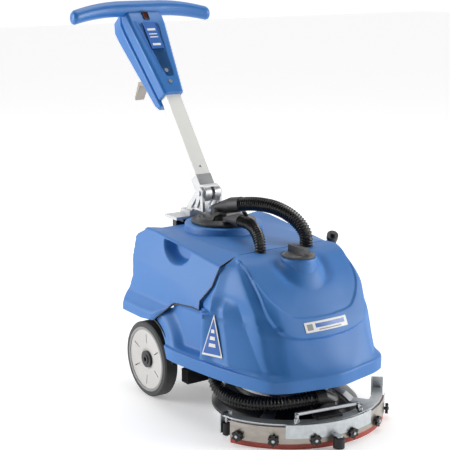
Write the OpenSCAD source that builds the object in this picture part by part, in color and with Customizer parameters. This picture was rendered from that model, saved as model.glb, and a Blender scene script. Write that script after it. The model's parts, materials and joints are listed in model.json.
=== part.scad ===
// Compact walk-behind floor scrubber-dryer.
// +X is forward, from the handle towards the squeegee, +Y is the machine's left, +Z is up.
// Lengths are in millimetres. Shapes are drawn from the wheel axle and then moved so that
// the origin is on the floor under the middle of the machine.

/* [Wheels] */
// Diameter of the two rear wheels
wheel_d = 200; // [170:1:240]
// Width of one tyre
wheel_w = 38; // [30:1:46]
// Distance over the outer faces of the two wheels
track_w = 476; // [460:1:560]
// Diameter of the axle
axle_d = 16; // [12:1:20]
// Radial thickness of the rubber tyre
tyre_t = 14; // [8:1:20]

/* [Body] */
// Distance from the axle to the front of the skirt
front_reach = 510; // [490:1:600]
// Distance from the axle back to the rear wall of the recovery tank
rear_reach = 135; // [130:1:160]
// Overall width of the body at the wheels
body_w = 480; // [470:1:570]
// Height of the flat top of the tanks above the floor
tank_top_z = 424; // [415:1:500]
// Height of the lower edge of the skirt above the floor
skirt_z = 133; // [125:1:145]
// Height of the flared band round the skirt
skirt_band_h = 32; // [24:1:45]
// Wall thickness of the rotomoulded tanks
tank_wall = 5; // [4:0.5:8]
// Gap between the two tanks along their joint
tank_gap = 2; // [1:0.5:4]

/* [Openings in the tanks] */
// Diameter of the round collar on the recovery tank
ring_d = 206; // [190:1:220]
// Inner diameter of the collar, which is the mouth of the recovery tank
ring_bore_d = 150; // [130:1:160]
// Height of the collar above the tank top
ring_h = 18; // [12:1:24]
// Distance from the axle to the filler cap
cap_x = 338; // [330:1:345]
// Bore of the filler neck
neck_d = 56; // [45:1:60]
// Diameter of the filler cap
cap_d = 82; // [76:1:90]

/* [Brush and squeegee] */
// Distance from the axle to the centre of the brush
brush_x = 289; // [280:1:300]
// Diameter of the disc brush
brush_d = 340; // [300:1:350]
// Length of the bristles
bristle_h = 28; // [20:1:32]
// Radius of the outer squeegee blade
squeegee_r = 250; // [235:1:290]
// Half of the angle that the squeegee blades cover
squeegee_half_angle = 59; // [50:1:64]
// Angle at which the squeegee is parked, about the brush centre
squeegee_park = -9; // [-20:1:20]
// Height of the squeegee's top plate
squeegee_top_z = 58; // [54:1:64]
// Thickness of a squeegee blade
blade_t = 3; // [2:0.5:4]
// Diameter of the roller that guards the squeegee
roller_d = 28; // [22:1:34]

/* [Handle] */
// Lean of the mast from upright
mast_lean = 37; // [25:1:45]
// Distance from the pivot to the end of the handle grips
mast_reach = 566; // [540:1:680]
// Width over the two grips
handle_w = 450; // [420:1:540]
// Diameter of a grip
grip_d = 38; // [32:1:42]
// Width of the mast's rectangular tube
mast_w = 46; // [40:1:52]
// Thickness of the mast's rectangular tube, front to back
mast_t = 30; // [26:1:34]
// Wall of the mast tube
mast_wall = 2.5; // [2:0.5:4]
// Height of the mast's pivot above the floor
pivot_z = 509; // [505:1:590]
// Diameter of the pivot pin
pivot_pin_d = 14; // [10:1:18]

/* [Hoses] */
// Outer diameter of the large suction hose
big_hose_d = 34; // [28:1:38]
// Outer diameter of the small hose
small_hose_d = 28; // [24:1:32]
// Outer diameter of the hose from the squeegee
squeegee_hose_d = 34; // [28:1:36]
// Outer diameter of the drain hose
drain_hose_d = 26; // [20:1:27]

/* [Fits] */
// Radial clearance of a shaft that turns in its bore
run_fit = 0.05; // [0.02:0.01:0.1]
// Clearance between parts that move past each other
move_gap = 0.5; // [0.3:0.1:1]

/* [Hidden] */
$fn = 64;
tiny = 0.01;

pivot_x = -57;
axle_z = wheel_d / 2;
wheel_y = track_w / 2 - wheel_w / 2;
rim_r = axle_z - tyre_t;
bush_r = axle_d / 2 + 4;
arch_gap = 14;
arch_r = axle_z + arch_gap;

band_top_z = skirt_z + skirt_band_h;
seam_x = 271;
side_x = 164;
fender_x0 = -98;
fender_x1 = 36;
fender_z0 = wheel_d + 8;
deck_space_z = 292;

ring_x = 12;
ring_top_z = tank_top_z + ring_h;
lid_r = 80;
lid_h = 12;
lid_top_z = ring_top_z + 3 + lid_h;
riser_x = ring_x - 22;
cage_h = 110;
float_r = 18;
hose_hole_x = 280;
hose_hole_y = 68;
hose_hole_r = 24;
cap_boss_r = cap_d / 2 + 4;
cap_seat_z = tank_top_z - 8;
cap_skirt_h = 14;

deck_r = brush_d / 2 + 16;
deck_wall = 4;
brush_r = brush_d / 2;
brush_block_h = 16;
brush_top_z = bristle_h + brush_block_h;
deck_top_z = 80;
boss_r = 100;
boss_h = 12;
swivel_z = deck_top_z + move_gap;
swivel_h = 6;
swivel_r = 124;
plate_t = 4;
shaft_r = 10;
chassis_z = deck_top_z + boss_h;
chassis_t = 6;

blade_in_r = squeegee_r - 16;
band_t = 2;
clamp_r = squeegee_r + band_t;
strip_r = clamp_r + 2;
frame_in_r = blade_in_r - 14;
roller_r = roller_d / 2;
roller_c = strip_r + 4 + roller_r;
knob_angles = [-53.8, -33.9, -11.4, 11.4, 33.9, 53.8];
end_roller_r = clamp_r - 14;
end_bar_w = 22;
bail_half = 20.5;
bail_r = squeegee_r - 12;

grip_arch = 26;
grip_flat = 60;
switch_z = mast_reach - 22;
console_split = -28;
switch_w = 18;
rocker_pin_d = 3;
gland_d = 16;
lever_u = -38;
lever_w = mast_reach - 190;
console_z0 = mast_reach - 262;
console_z1 = mast_reach + 30;
console_front = 16;
console_back_low = -62;
console_back_top = -88;
mast_u = -10;
mast_z0 = 44;
mast_z1 = mast_reach - 60;
knuckle_r = 23;
cheek_t = 8;
cheek_gap = 24;
drum_r = 17;
drum_t = 9;
post_t = 18;
post_w = 110;
bracket_z = tank_top_z + 10;
bracket_front = ring_x - ring_d / 2 - 3;

// The machine is centred between the back of the console and the front of the guard roller.
x_back = pivot_x - sin(mast_lean) * console_z1 + cos(mast_lean) * console_back_top;
x_front = brush_x + roller_c * cos(squeegee_park) + roller_r;
frame_shift = -(x_front + x_back) / 2;

// Routes of the hoses, as points on their centre lines, measured from the axle.
big_route = [[84, 8, 500], [105, 14, 504], [130, 22, 507], [158, 30, 508], [186, 39, 506],
    [214, 48, 499], [240, 56, 488], [260, 62, 474], [274, 66, 458], [280, 68, 442],
    [281, 68, 424], [281, 68, 404]];
small_route = [[152, -38, 473], [176, -44, 475], [200, -49, 476], [224, -55, 473],
    [244, -60, 466], [260, -64, 454], [270, -67, 440], [274, -68, 424], [275, -68, 404]];
squeegee_route = [[258, -190, 150], [258, -192, 128], [263, -194, 106], [282, -192, 91],
    [312, -188, 84], [346, -179, 82], [378, -165, 83], [406, -146, 86], [430, -122, 90],
    [448, -95, 95], [458, -65, 97], [462, -42, 97]];
drain_route = [[-60, 196, 320], [-60, 214, 320], [-54, 223, 321], [-38, 226, 323],
    [-14, 226, 325], [20, 226, 327], [60, 226, 330], [96, 226, 334], [128, 225, 341],
    [154, 223, 351], [176, 220, 364], [193, 216, 379], [206, 211, 394], [215, 206, 408]];
drain_x = drain_route[0][0];
drain_z = drain_route[0][2];

// ---- helpers ----

// Everything is drawn from the axle and moved to the shared origin by this.
module in_frame() {
    translate([frame_shift, 0, 0]) children();
}

// Moves children into the mast's own frame: origin on the pivot, +Z up the mast, +X its front.
module on_mast() {
    in_frame() translate([pivot_x, 0, pivot_z]) rotate([0, -mast_lean, 0]) children();
}

// Moves children to the brush centre, turned to where the squeegee is parked.
module at_squeegee() {
    in_frame() translate([brush_x, 0, 0]) rotate([0, 0, squeegee_park]) children();
}

// Extrudes an X-Z outline along Y, centred on the middle plane.
module side_extrude(width) {
    rotate([90, 0, 0]) linear_extrude(width, center = true) children();
}

// Extrudes a Y-Z outline along X from x = from to x = to.
module front_extrude(from, to) {
    translate([from, 0, 0]) rotate([90, 0, 90]) linear_extrude(to - from) children();
}

function arc(c, r, a0, a1, n) =
    [for (i = [0 : n]) c + r * [cos(a0 + (a1 - a0) * i / n), sin(a0 + (a1 - a0) * i / n)]];

// Mirrors a half outline, given from y = 0 at the front to the back, to a whole outline.
function whole(half) =
    concat(half, [for (i = [len(half) - 1 : -1 : 1]) [half[i][0], -half[i][1]]]);

module ring(r_out, r_in, h) {
    difference() {
        cylinder(r = r_out, h = h);
        translate([0, 0, -1]) cylinder(r = r_in, h = h + 2);
    }
}

// Part of a ring from angle -half to +half about +X.
module ring_arc(r_out, r_in, z0, z1, half) {
    translate([0, 0, z0]) rotate([0, 0, -half])
        rotate_extrude(angle = 2 * half, $fn = 128)
            translate([r_in, 0]) square([r_out - r_in, z1 - z0]);
}

// Unit vector helpers for the hose sweep.
function unit(v) = v / norm(v);
function along(route, i) = i == 0 ? unit(route[1] - route[0])
    : i == len(route) - 1 ? unit(route[i] - route[i - 1])
    : unit(route[i + 1] - route[i - 1]);

// Moves children to p, with their +Z turned along v.
module aim(p, v) {
    translate(p) rotate([0, acos(v[2] / norm(v)), atan2(v[1], v[0])]) children();
}

// A tube swept along a route: one closed polyhedron with a ring of sides at each point.
module hose(route, d, up, sides = 10) {
    count = len(route);
    points = [for (i = [0 : count - 1])
        let (t = along(route, i), a = unit(cross(t, up)), b = cross(t, a))
        for (k = [0 : sides - 1])
            route[i] + d / 2 * (cos(360 * k / sides) * a + sin(360 * k / sides) * b)];
    walls = [for (i = [0 : count - 2]) for (k = [0 : sides - 1])
        let (n = (k + 1) % sides)
        [i * sides + k, (i + 1) * sides + k, (i + 1) * sides + n, i * sides + n]];
    first = [for (k = [0 : sides - 1]) k];
    last = [for (k = [sides - 1 : -1 : 0]) (count - 1) * sides + k];
    polyhedron(points, concat([first], walls, [last]), convexity = 4);
}

// ---- body outlines ----

// Joins rings of points, each the same length and turning the same way, into one closed solid.
module loft(rings) {
    count = len(rings);
    n = len(rings[0]);
    points = [for (r = rings) for (p = r) p];
    walls = [for (i = [0 : count - 2]) for (k = [0 : n - 1])
        let (a = i * n + k, b = i * n + (k + 1) % n)
        for (f = [[a, b, b + n], [a, b + n, a + n]]) f];
    first = [for (k = [n - 1 : -1 : 0]) k];
    last = [for (k = [0 : n - 1]) (count - 1) * n + k];
    polyhedron(points, concat([first], walls, [last]), convexity = 6);
}

// Heights of the front body's sections, with how far the front and the sides reach there.
// Each row is height, front, half width of the front face, half width of the side.
front_sections = [
    [skirt_z, front_reach, 60, body_w / 2],
    [band_top_z, front_reach, 60, body_w / 2],
    [band_top_z + 16, front_reach - 16, 84, body_w / 2 - 6],
    [band_top_z + 48, front_reach - 35, 108, body_w / 2 - 13],
    [263, front_reach - 50, 124, body_w / 2 - 18],
    [301, front_reach - 72, 134, body_w / 2 - 24],
    [tank_top_z - 87, front_reach - 98, 140, body_w / 2 - 32],
    [tank_top_z - 60, front_reach - 122, 142, body_w / 2 - 39],
    [tank_top_z - 42, front_reach - 142, 143, body_w / 2 - 45],
    [tank_top_z - 15, front_reach - 178, 145, body_w / 2 - 62],
    [tank_top_z - 4, front_reach - 208, 146, body_w / 2 - 84],
    [tank_top_z, front_reach - 238, 146, body_w / 2 - 92]];

// Half outline of one section from the front to the back, drawn in by inset.
function front_half(row, inset) =
    let (f = row[1] - inset, c = row[2] - inset, w = row[3] - inset, run = f - side_x)
    [[f, 0], [f - run * 0.01, c / 2], [f - run * 0.03, c], [f - run * 0.09, c + (w - c) * 0.45],
    [f - run * 0.2, c + (w - c) * 0.68], [f - run * 0.54, c + (w - c) * 0.87], [side_x, w],
    [fender_x1, w]];
function front_ring(row, inset) =
    [for (p = whole(front_half(row, inset))) [p[0], -p[1], row[0] - inset]];

// Solid block of the front body, drawn in by inset on every side.
module front_block(inset) {
    loft([for (row = front_sections) front_ring(row, inset)]);
}

// Drop of the side edges of the recovery tank along its length.
function fall(x) = max(x + 30, 0) / 296;

// Half cross section of the recovery tank at x, from the top to the bottom, drawn in by inset.
function tank_half(x, inset) =
    let (w = body_w / 2 - inset, top = tank_top_z - inset)
    [[w - 110, top], [w - 53, top + 9 - 34 * fall(x)], [w - 42, top - 42 - 33 * fall(x)],
    [w - 32, top - 77 - 39 * fall(x)], [w - 27, min(300, top - 85 - 39 * fall(x))],
    [w - 26, fender_z0 + inset]];
function tank_ring(x, inset) =
    let (half = tank_half(x, inset))
    [for (p = concat(half, [for (i = [len(half) - 1 : -1 : 0]) [-half[i][0], half[i][1]]]))
        [x, p[0], p[1]]];

// The tank's rear corners from above and its rear edge from the side, drawn in by inset.
function rear_plan(inset) =
    let (b = -rear_reach + inset, w = body_w / 2 - inset)
    concat([[400, -400], [400, 400], [b + 85, 400], [b + 85, w - 8]],
    [for (p = [[50, w - 14], [22, w - 34], [6, w - 64], [0, w - 100]]) [b + p[0], p[1]]],
    [for (p = [[0, w - 100], [6, w - 64], [22, w - 34], [50, w - 14]]) [b + p[0], -p[1]]],
    [[b + 85, 8 - w], [b + 85, -400]]);
function rear_side(inset) =
    let (b = -rear_reach + inset, t = tank_top_z - inset)
    [[b, 0], [400, 0], [400, t + 60], [b + 90, t + 60], [b + 90, t + 8], [b + 50, t],
    [b + 22, t - 14], [b + 6, t - 34], [b, t - 56]];

module tank_block(inset) {
    intersection() {
        loft([tank_ring(-rear_reach - 20, inset), tank_ring(-30, inset),
            tank_ring(seam_x - inset, inset)]);
        linear_extrude(900) polygon(rear_plan(inset));
        side_extrude(900) polygon(rear_side(inset));
    }
}

// Side view of the joint between the two tanks: all that is above and behind it.
function seam(gap) = [[-300, fender_z0 - 20], [fender_x1 - 60, fender_z0 - 20],
    [fender_x1 - 58, fender_z0 - gap], [fender_x1 + gap, fender_z0 + 8 - gap],
    [98, 273 - gap], [220 + gap, 284 - gap], [217 + gap, 307 - gap], [252 + gap, 349 - gap],
    [seam_x - 4 + gap, tank_top_z - 25], [seam_x + gap, tank_top_z + 60],
    [-300, tank_top_z + 60]];

// ---- tanks and what is on them ----

// Bowl-shaped pockets in the sides of the recovery tank, for lifting it out.
module hand_recesses(wall) {
    for (side = [-1, 1])
        translate([84, side * (body_w / 2 - 46), tank_top_z - 6]) intersection() {
            rotate([90, 0, 0]) cylinder(r = 60 + wall, h = 50 + 2 * wall, center = true);
            rotate([0, 5, 0]) translate([-80, -25 - wall, -60 - wall])
                cube([160, 50 + 2 * wall, 60 + wall + 1]);
        }
}

// Wells that let the two hoses down into the body, where the two tanks meet.
module hose_wells(wall) {
    for (side = [-1, 1])
        translate([hose_hole_x, side * hose_hole_y, 250])
            cylinder(r = hose_hole_r + wall, h = 250);
}

// The mudguard over one wheel, from the tank's side out over the tyre.
module fender(side) {
    intersection() {
        translate([0, side * (body_w / 2 - 31), 0])
            side_extrude(62)
                polygon([[fender_x0, fender_z0], [fender_x1, fender_z0 + 8], [98, 273],
                    [fender_x1 + 10, 300], [fender_x0 + 30, 300], [fender_x0 - 4, 262],
                    [fender_x0 - 4, 232]]);
        front_extrude(fender_x0 - 20, 110)
            polygon([[0, fender_z0], [side * (body_w / 2 - 1), fender_z0],
                [side * (body_w / 2 - 1), 232], [side * (body_w / 2 - 26), 300], [0, 300]]);
    }
}

module recovery_tank() {
    color("royalblue") in_frame() difference() {
        union() {
            intersection() {
                tank_block(0);
                side_extrude(body_w + 60) polygon(seam(0));
            }
            fender(1);
            fender(-1);
            translate([ring_x, 0, tank_top_z - 3]) cylinder(d = ring_d, h = ring_h + 3);
        }
        difference() {
            intersection() {
                tank_block(tank_wall);
                translate([-tank_wall, 0, tank_wall]) side_extrude(body_w) polygon(seam(0));
            }
            hand_recesses(tank_wall);
            hose_wells(tank_wall);
        }
        hand_recesses(0);
        hose_wells(0);
        translate([ring_x, 0, tank_top_z - 20]) cylinder(d = ring_bore_d, h = ring_h + 40);
        translate([drain_x, 150, drain_z]) rotate([-90, 0, 0]) cylinder(d = drain_hose_d, h = 90);
    }
}

module solution_tank() {
    color("royalblue") in_frame() difference() {
        union() {
            front_block(0);
            translate([cap_x, 0, tank_top_z - 120])
                cylinder(r = cap_boss_r, h = 120 + cap_seat_z - tank_top_z);
        }
        // room for the recovery tank behind the joint
        side_extrude(body_w + 60) polygon(seam(tank_gap));
        // room for the wheels
        translate([0, 0, axle_z]) rotate([90, 0, 0]) cylinder(r = arch_r, h = 600, center = true);
        // open space over the brush deck, closed above by the floor of the water tank
        intersection() {
            translate([0, 0, -tiny]) front_block(tank_wall);
            translate([0, -300, 0]) cube([front_reach, 600, deck_space_z]);
        }
        translate([0, -body_w / 2 + 60, 0]) cube([200, body_w - 120, 240]);
        // water space
        difference() {
            intersection() {
                front_block(tank_wall);
                translate([seam_x + tank_gap + tank_wall, -300, deck_space_z + tank_wall])
                    cube([300, 600, 200]);
            }
            hose_wells(tank_wall);
        }
        hose_wells(0);
        translate([cap_x, 0, deck_space_z + 20]) cylinder(d = neck_d, h = 200);
        translate([cap_x, 0, cap_seat_z]) cylinder(r = cap_boss_r, h = 60);
    }
}

module lid_seal() {
    color("dimgray") in_frame() translate([ring_x, 0, ring_top_z])
        ring(lid_r, ring_bore_d / 2 - 4, 3);
}

module recovery_lid() {
    color("black") in_frame() translate([ring_x, 0, ring_top_z + 3]) difference() {
        union() {
            cylinder(r = lid_r + 6, h = 5);
            cylinder(r1 = lid_r, r2 = lid_r - 14, h = lid_h);
        }
        translate([riser_x - ring_x, 0, -1]) cylinder(d = big_hose_d - 8, h = lid_h + 2);
    }
}

// The grip that bridges the lid, low enough to pass under the large elbow.
module lid_handle() {
    color("black") in_frame() translate([ring_x + 26, 0, lid_top_z])
        rotate([90, 0, 90]) linear_extrude(18, center = true) difference() {
            polygon([[-58, 0], [-50, 12], [-36, 17], [36, 17], [50, 12], [58, 0]]);
            polygon([[-52, -1], [-46, 9], [-34, 13], [34, 13], [46, 9], [52, -1]]);
        }
}

module big_elbow() {
    first = big_route[0];
    dir = unit(big_route[1] - first);
    color("dimgray") in_frame() difference() {
        union() {
            translate([riser_x, 0, lid_top_z]) cylinder(d = big_hose_d + 8, h = 22);
            hull() {
                translate([riser_x, 0, lid_top_z + 20])
                    cylinder(d = big_hose_d + 6, h = 4, $fn = 32);
                aim(first - 34 * dir, dir) cylinder(d = big_hose_d + 6, h = 34, $fn = 32);
            }
        }
        translate([riser_x, 0, lid_top_z - 1]) cylinder(d = big_hose_d - 8, h = 24);
    }
}

module small_elbow() {
    first = small_route[0];
    dir = unit(small_route[1] - first);
    color("dimgray") in_frame() {
        translate([72, -24, lid_top_z]) cylinder(d = small_hose_d + 4, h = 6);
        hull() {
            translate([72, -24, lid_top_z + 5]) cylinder(d = small_hose_d + 4, h = 4, $fn = 32);
            aim(first - 30 * dir, dir) cylinder(d = small_hose_d + 5, h = 30, $fn = 32);
        }
    }
}

module big_hose() {
    color("black") in_frame() hose(big_route, big_hose_d, [0, 1, 0]);
}

module small_hose() {
    color("black") in_frame() hose(small_route, small_hose_d, [0, 1, 0]);
}

module float_cage() {
    color("gray") in_frame() translate([riser_x, 0, ring_top_z + 3 - cage_h]) difference() {
        cylinder(r = 24, h = cage_h);
        translate([0, 0, 3]) cylinder(r = 21, h = 200);
        for (a = [0 : 60 : 120]) rotate([0, 0, a])
            translate([-40, -7, 20]) cube([80, 14, 60]);
    }
}

module float_ball() {
    color("white") in_frame()
        translate([riser_x, 0, ring_top_z + 3 - cage_h + 3 + float_r + tiny]) sphere(r = float_r);
}

module filler_cap() {
    color("dimgray") in_frame() translate([cap_x, 0, cap_seat_z + move_gap]) {
        cylinder(d = cap_d, h = 5);
        translate([0, 0, 5]) cylinder(d1 = cap_d - 8, d2 = cap_d - 16, h = 3);
        translate([-32, -8, 0]) cube([64, 16, 24]);
        translate([0, 0, -cap_skirt_h]) cylinder(d = neck_d - 2, h = cap_skirt_h);
    }
}

module filler_filter() {
    color("silver") in_frame() translate([cap_x, 0, cap_seat_z - 70]) difference() {
        union() {
            cylinder(d = neck_d - 8, h = 50);
            translate([0, 0, 48]) cylinder(d = neck_d, h = 2);
        }
        translate([0, 0, 2]) cylinder(d = neck_d - 11, h = 60);
    }
}

module drain_hose() {
    color("black") in_frame() hose(drain_route, drain_hose_d, [0, 0, 1]);
}

module drain_plug() {
    end = drain_route[len(drain_route) - 1];
    color("black") in_frame() aim(end, end - drain_route[len(drain_route) - 2])
        translate([0, 0, run_fit]) {
            cylinder(d = drain_hose_d + 4, h = 14);
            translate([0, 0, 14]) cylinder(d = 12, h = 10);
        }
}

// ---- drive ----

module suction_motor() {
    color("gray") in_frame() translate([130, 0, chassis_z + chassis_t]) difference() {
        cylinder(r = 62, h = 130);
        translate([0, 0, 84]) cylinder(r = 56, h = 34);
        translate([0, 0, 60]) cylinder(r = 5 + run_fit, h = 40);
        translate([0, 0, 110]) cylinder(r = 20, h = 40);
    }
}

module suction_fan() {
    color("silver") in_frame() translate([130, 0, chassis_z + chassis_t]) {
        translate([0, 0, 64]) cylinder(r = 5, h = 30);
        translate([0, 0, 88]) cylinder(r = 52, h = 3);
        for (a = [0 : 45 : 315]) rotate([0, 0, a])
            translate([4, -1, 90]) cube([46, 2, 20]);
    }
}

module brush_motor() {
    color("dimgray") in_frame() translate([brush_x, 0, chassis_z + chassis_t]) difference() {
        cylinder(r = 72, h = 150);
        translate([0, 0, 20]) cylinder(r = 62, h = 120);
        translate([0, 0, -1]) cylinder(r = shaft_r + run_fit, h = 30);
    }
}

// The rotor with its shaft, which drives the brush.
module motor_rotor() {
    color("goldenrod") in_frame() translate([brush_x, 0, 0]) {
        translate([0, 0, chassis_z + chassis_t + 40]) cylinder(r = 54, h = 80);
        translate([0, 0, brush_top_z])
            cylinder(r = shaft_r, h = chassis_z + chassis_t + 41 - brush_top_z);
    }
}

module water_pump() {
    color("gray") in_frame() translate([190, 110, chassis_z + chassis_t + 26]) {
        rotate([0, 90, 0]) cylinder(r = 24, h = 70, center = true);
        translate([-24, -20, -26]) cube([48, 40, 10]);
    }
}

module chassis() {
    post_x = -rear_reach - post_t - 2;
    color("dimgray") in_frame() difference() {
        union() {
            // main plate from behind the axle to over the brush deck
            translate([post_x, -100, chassis_z]) cube([brush_x - post_x, 200, chassis_t]);
            translate([brush_x, 0, chassis_z]) cylinder(r = 100, h = chassis_t);
            // axle blocks under the plate
            for (side = [-1, 1])
                translate([-20, side * 100 - 10, axle_z - 24]) cube([40, 20, 24]);
            // cheeks that carry the tanks
            for (side = [-1, 1])
                translate([-70, side * 94 - 6, chassis_z])
                    cube([165, 12, fender_z0 - move_gap - chassis_z]);
            // post behind the recovery tank, up to the mast bracket
            translate([post_x, -post_w / 2, chassis_z])
                cube([post_t, post_w, tank_top_z + 10 - chassis_z]);
            translate([post_x, -post_w / 2, tank_top_z + 2]) cube([post_t + 36, post_w, 8]);
        }
        translate([0, 0, axle_z]) rotate([90, 0, 0])
            cylinder(d = axle_d + 2 * run_fit, h = 300, center = true);
        translate([brush_x, 0, chassis_z - 1]) cylinder(r = shaft_r + 1, h = chassis_t + 2);
    }
}

module axle() {
    color("silver") in_frame() translate([0, 0, axle_z]) rotate([90, 0, 0])
        cylinder(d = axle_d, h = track_w - 13, center = true);
}

module rear_tray() {
    color("black") in_frame() difference() {
        translate([92, -185, 56]) cube([30, 370, chassis_z - 56 - tiny]);
        translate([96, -181, 60]) cube([22, 362, 200]);
    }
}

module brush_deck() {
    color("black") in_frame() translate([brush_x, 0, 0]) difference() {
        union() {
            rotate_extrude($fn = 128) polygon([[0, 26], [deck_r, 26], [deck_r, 34],
                [deck_r - 12, 46], [deck_r - 34, 60], [deck_r - 58, 72], [swivel_r + 2, deck_top_z],
                [0, deck_top_z]]);
            cylinder(r = boss_r, h = chassis_z);
        }
        rotate_extrude($fn = 128) polygon([[0, -1], [deck_r - deck_wall, -1],
            [deck_r - deck_wall, 32], [deck_r - deck_wall - 11, 42], [brush_r - 20, 42],
            [brush_r - 20, brush_top_z + 5], [0, brush_top_z + 5]]);
        translate([0, 0, brush_top_z]) cylinder(r = 40, h = 12);
        cylinder(r = shaft_r + 1, h = 200);
    }
}

module brush_block() {
    color("silver") in_frame() translate([brush_x, 0, bristle_h]) difference() {
        cylinder(r = brush_r - 24, h = brush_block_h);
        translate([0, 0, -1]) cylinder(r = 50, h = brush_block_h - 4);
    }
}

module bristles() {
    color("white") in_frame() translate([brush_x, 0, 0]) ring(brush_r - 2, 90, bristle_h);
}

// ---- wheels ----

module tyre(side) {
    in_frame() translate([0, side * wheel_y, axle_z]) rotate([90, 0, 0])
        rotate_extrude($fn = 96) polygon([[rim_r, -wheel_w / 2], [axle_z - 4, -wheel_w / 2],
            [axle_z, -wheel_w / 2 + 4], [axle_z, wheel_w / 2 - 4], [axle_z - 4, wheel_w / 2],
            [rim_r, wheel_w / 2]]);
}

module rim(side) {
    in_frame() translate([0, side * wheel_y, axle_z]) rotate([-90 * side, 0, 0]) difference() {
        rotate_extrude($fn = 96) polygon([[axle_d / 2 + run_fit, -wheel_w / 2 + 2],
            [30, -wheel_w / 2 + 2], [34, 2], [rim_r - 10, 2], [rim_r - 6, -wheel_w / 2 + 1],
            [rim_r, -wheel_w / 2 + 1], [rim_r, wheel_w / 2 - 2], [rim_r - 6, wheel_w / 2 - 1],
            [28, wheel_w / 2 - 5], [24, wheel_w / 2 - 7], [axle_d / 2 + run_fit, wheel_w / 2 - 7]]);
        for (a = [0 : 60 : 300]) rotate([0, 0, a + 90])
            translate([44, -1.5, wheel_w / 2 - 8]) cube([24, 3, 20]);
    }
}

module hub_cap(side) {
    in_frame() translate([0, side * (track_w / 2 - 6), axle_z]) rotate([-90 * side, 0, 0]) {
        cylinder(r = 22, h = 6);
        translate([0, 0, 5]) cylinder(r = 12, h = 3);
    }
}

module tyre_right() { color("black") tyre(-1); }
module tyre_left() { color("black") tyre(1); }
module rim_right() { color("white") rim(-1); }
module rim_left() { color("white") rim(1); }
module hub_cap_right() { color("black") hub_cap(-1); }
module hub_cap_left() { color("black") hub_cap(1); }

// ---- squeegee ----

// Turntable ring with three cranked arms down to the squeegee's frame.
module swivel_ring() {
    color("gray") at_squeegee() difference() {
        union() {
            translate([0, 0, swivel_z]) cylinder(r = swivel_r, h = swivel_h);
            for (a = [-40, 0, 40]) rotate([0, 0, a - 5])
                rotate_extrude(angle = 10, $fn = 128)
                    polygon([[110, swivel_z + 1], [swivel_r + 4, swivel_z + 1],
                        [deck_r - 28, 67], [deck_r - 8, squeegee_top_z - 4],
                        [frame_in_r + 12, squeegee_top_z - 4], [frame_in_r + 12, squeegee_top_z],
                        [deck_r - 6, squeegee_top_z], [deck_r - 26, 73],
                        [swivel_r + 5, swivel_z + swivel_h - 1], [110, swivel_z + swivel_h - 1]]);
        }
        translate([0, 0, swivel_z - 1]) cylinder(r = boss_r + move_gap, h = swivel_h + 2);
    }
}

module squeegee_frame() {
    color("silver") at_squeegee() {
        ring_arc(squeegee_r - blade_t, frame_in_r, squeegee_top_z, squeegee_top_z + plate_t,
            squeegee_half_angle + 2);
        ring_arc(squeegee_r - blade_t, blade_in_r + blade_t, 16, squeegee_top_z,
            squeegee_half_angle);
        for (side = [-1, 1]) translate([bail_r * cos(bail_half), side * bail_r * sin(bail_half), 0]) {
            translate([-5, side * 6 - 2, squeegee_top_z]) cube([10, 4, plate_t + 10]);
            translate([0, side * 8, squeegee_top_z + plate_t + 5]) rotate([side * 90, 0, 0])
                cylinder(r = 2.5, h = 12);
        }
    }
}

module squeegee_band() {
    color("tan") at_squeegee()
        ring_arc(clamp_r, squeegee_r, 14, squeegee_top_z - 2, squeegee_half_angle);
}

module squeegee_strip() {
    color("gainsboro") at_squeegee()
        union() {
            ring_arc(strip_r, clamp_r + tiny, 28, squeegee_top_z + plate_t, 27.5);
            translate([strip_r - 1, -7, 30]) cube([roller_c - strip_r + 8, 14, 3]);
            translate([roller_c, 0, 2]) cylinder(r = 3, h = 30);
            translate([roller_c, 0, 2]) cylinder(r = 5, h = 2 - move_gap);
        }
}

module front_blade() {
    color("firebrick") at_squeegee()
        ring_arc(squeegee_r, squeegee_r - blade_t, 0, 50, squeegee_half_angle);
}

module rear_blade() {
    color("firebrick") at_squeegee()
        ring_arc(blade_in_r + blade_t, blade_in_r, 0, 50, squeegee_half_angle);
}

module squeegee_knobs() {
    color("black") at_squeegee() for (a = knob_angles)
        rotate([0, 0, a]) translate([clamp_r, 0, 24]) rotate([0, 90, 0]) {
            cylinder(r = 4, h = 4);
            translate([0, 0, 3]) cylinder(r = 10, h = 7);
            for (k = [0 : 60 : 300]) rotate([0, 0, k])
                translate([10, 0, 3]) cylinder(r = 4, h = 7, $fn = 24);
        }
}

module suction_nozzle() {
    last = squeegee_route[len(squeegee_route) - 1];
    dir = unit(last - squeegee_route[len(squeegee_route) - 2]);
    plate_z = squeegee_top_z + plate_t;
    color("black") {
        in_frame() hull() {
            aim(last, dir) cylinder(d = squeegee_hose_d + 6, h = 26, $fn = 24);
            translate([brush_x + 181, 2, plate_z + 22]) sphere(r = 19, $fn = 20);
        }
        hull() {
            in_frame() translate([brush_x + 181, 2, plate_z + 22]) sphere(r = 17, $fn = 20);
            at_squeegee() translate([196, -32, plate_z]) cube([9, 64, 8]);
        }
        at_squeegee() translate([200, -34, plate_z]) cube([frame_in_r + 10 - 200, 68, 7]);
    }
}

module squeegee_hose() {
    color("black") in_frame() hose(squeegee_route, squeegee_hose_d, [0.3, 0.2, 1]);
}

// Folded flat bars at the two ends of the squeegee, which carry the wall rollers.
module end_brackets() {
    bar = squeegee_r - 6 - frame_in_r;
    color("silver") at_squeegee() for (side = [-1, 1])
        rotate([0, 0, side * (squeegee_half_angle + 2)]) {
            translate([frame_in_r, side > 0 ? 0 : -end_bar_w, squeegee_top_z])
                cube([bar, end_bar_w, plate_t]);
            translate([frame_in_r, side > 0 ? end_bar_w - 3 : -end_bar_w, 14])
                cube([4, 3, squeegee_top_z - 14 + tiny]);
            translate([end_roller_r, side * 12, 8]) {
                cylinder(r = 3, h = squeegee_top_z - 8 + tiny);
                cylinder(r = 5, h = 3.5);
            }
        }
}

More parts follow.
